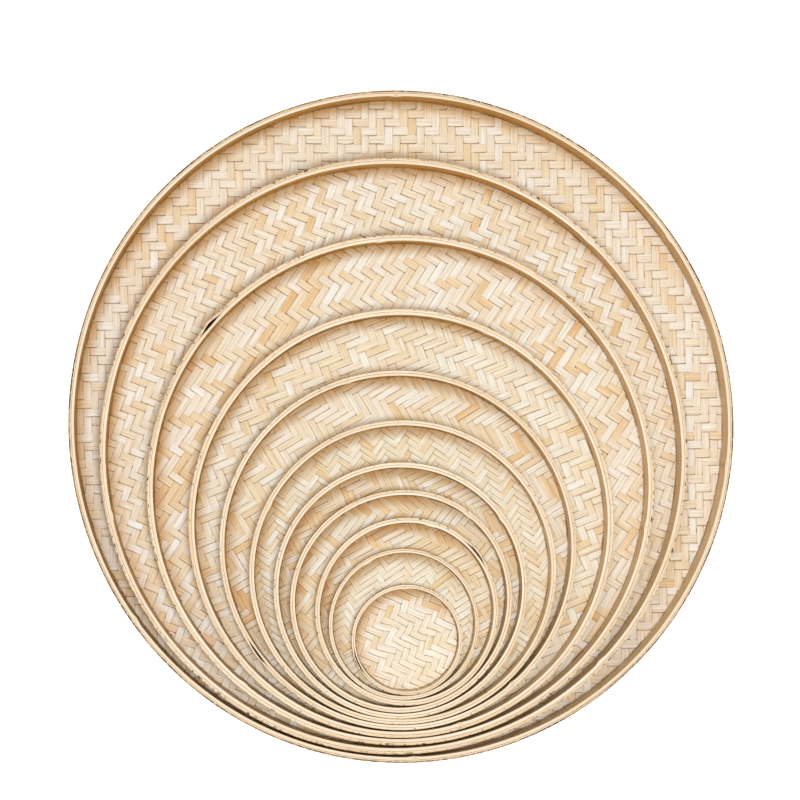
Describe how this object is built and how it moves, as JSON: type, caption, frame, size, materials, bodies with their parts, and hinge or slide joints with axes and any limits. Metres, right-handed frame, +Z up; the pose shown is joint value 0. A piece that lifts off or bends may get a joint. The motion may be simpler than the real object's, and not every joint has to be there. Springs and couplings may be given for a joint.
{
  "type": "nested bamboo tray set",
  "caption": "Nested set of round, shallow bamboo trays for drying, sifting and serving, each with a woven floor clamped between bent bamboo hoops.",
  "frame": {"origin": "middle of the largest tray's flat underside, on the surface that the set stands on", "axes": "+Z up out of the trays, +Y towards the side where the nested trays leave the widest crescents of floor, +X to the right of that"},
  "size_m": [0.7962, 0.8038, 0.0456],
  "materials": {
    "hoop_bamboo": "satin",
    "woven_bamboo": "satin",
    "nail_steel": "satin"
  },
  "bodies": {
    "tray_01": {"tray_01_outer_hoop": "hoop_bamboo", "tray_01_inner_hoop": "hoop_bamboo", "tray_01_woven_mat": "woven_bamboo"},
    "tray_02": {"tray_02_outer_hoop": "hoop_bamboo", "tray_02_inner_hoop": "hoop_bamboo", "tray_02_woven_mat": "woven_bamboo"},
    "tray_03": {"tray_03_outer_hoop": "hoop_bamboo", "tray_03_inner_hoop": "hoop_bamboo", "tray_03_woven_mat": "woven_bamboo"},
    "tray_04": {"tray_04_outer_hoop": "hoop_bamboo", "tray_04_inner_hoop": "hoop_bamboo", "tray_04_woven_mat": "woven_bamboo"},
    "tray_05": {"tray_05_outer_hoop": "hoop_bamboo", "tray_05_inner_hoop": "hoop_bamboo", "tray_05_woven_mat": "woven_bamboo"},
    "tray_06": {"tray_06_outer_hoop": "hoop_bamboo", "tray_06_inner_hoop": "hoop_bamboo", "tray_06_woven_mat": "woven_bamboo"},
    "tray_07": {"tray_07_outer_hoop": "hoop_bamboo", "tray_07_inner_hoop": "hoop_bamboo", "tray_07_woven_mat": "woven_bamboo"},
    "tray_08": {"tray_08_outer_hoop": "hoop_bamboo", "tray_08_inner_hoop": "hoop_bamboo", "tray_08_woven_mat": "woven_bamboo"},
    "tray_09": {"tray_09_outer_hoop": "hoop_bamboo", "tray_09_inner_hoop": "hoop_bamboo", "tray_09_woven_mat": "woven_bamboo"},
    "tray_10": {"tray_10_outer_hoop": "hoop_bamboo", "tray_10_inner_hoop": "hoop_bamboo", "tray_10_woven_mat": "woven_bamboo"},
    "tray_11": {"tray_11_outer_hoop": "hoop_bamboo", "tray_11_inner_hoop": "hoop_bamboo", "tray_11_woven_mat": "woven_bamboo"}
  },
  "joints": [
    {"name": "tray_02_lift", "type": "slide", "parent": "tray_01", "child": "tray_02", "axis": [0, 0, 1], "range_m": [0, 0.06]},
    {"name": "tray_03_lift", "type": "slide", "parent": "tray_02", "child": "tray_03", "axis": [0, 0, 1], "range_m": [0, 0.06]},
    {"name": "tray_04_lift", "type": "slide", "parent": "tray_03", "child": "tray_04", "axis": [0, 0, 1], "range_m": [0, 0.06]},
    {"name": "tray_05_lift", "type": "slide", "parent": "tray_04", "child": "tray_05", "axis": [0, 0, 1], "range_m": [0, 0.06]},
    {"name": "tray_06_lift", "type": "slide", "parent": "tray_05", "child": "tray_06", "axis": [0, 0, 1], "range_m": [0, 0.06]},
    {"name": "tray_07_lift", "type": "slide", "parent": "tray_06", "child": "tray_07", "axis": [0, 0, 1], "range_m": [0, 0.06]},
    {"name": "tray_08_lift", "type": "slide", "parent": "tray_07", "child": "tray_08", "axis": [0, 0, 1], "range_m": [0, 0.06]},
    {"name": "tray_09_lift", "type": "slide", "parent": "tray_08", "child": "tray_09", "axis": [0, 0, 1], "range_m": [0, 0.06]},
    {"name": "tray_10_lift", "type": "slide", "parent": "tray_09", "child": "tray_10", "axis": [0, 0, 1], "range_m": [0, 0.06]},
    {"name": "tray_11_lift", "type": "slide", "parent": "tray_10", "child": "tray_11", "axis": [0, 0, 1], "range_m": [0, 0.06]}
  ]
}
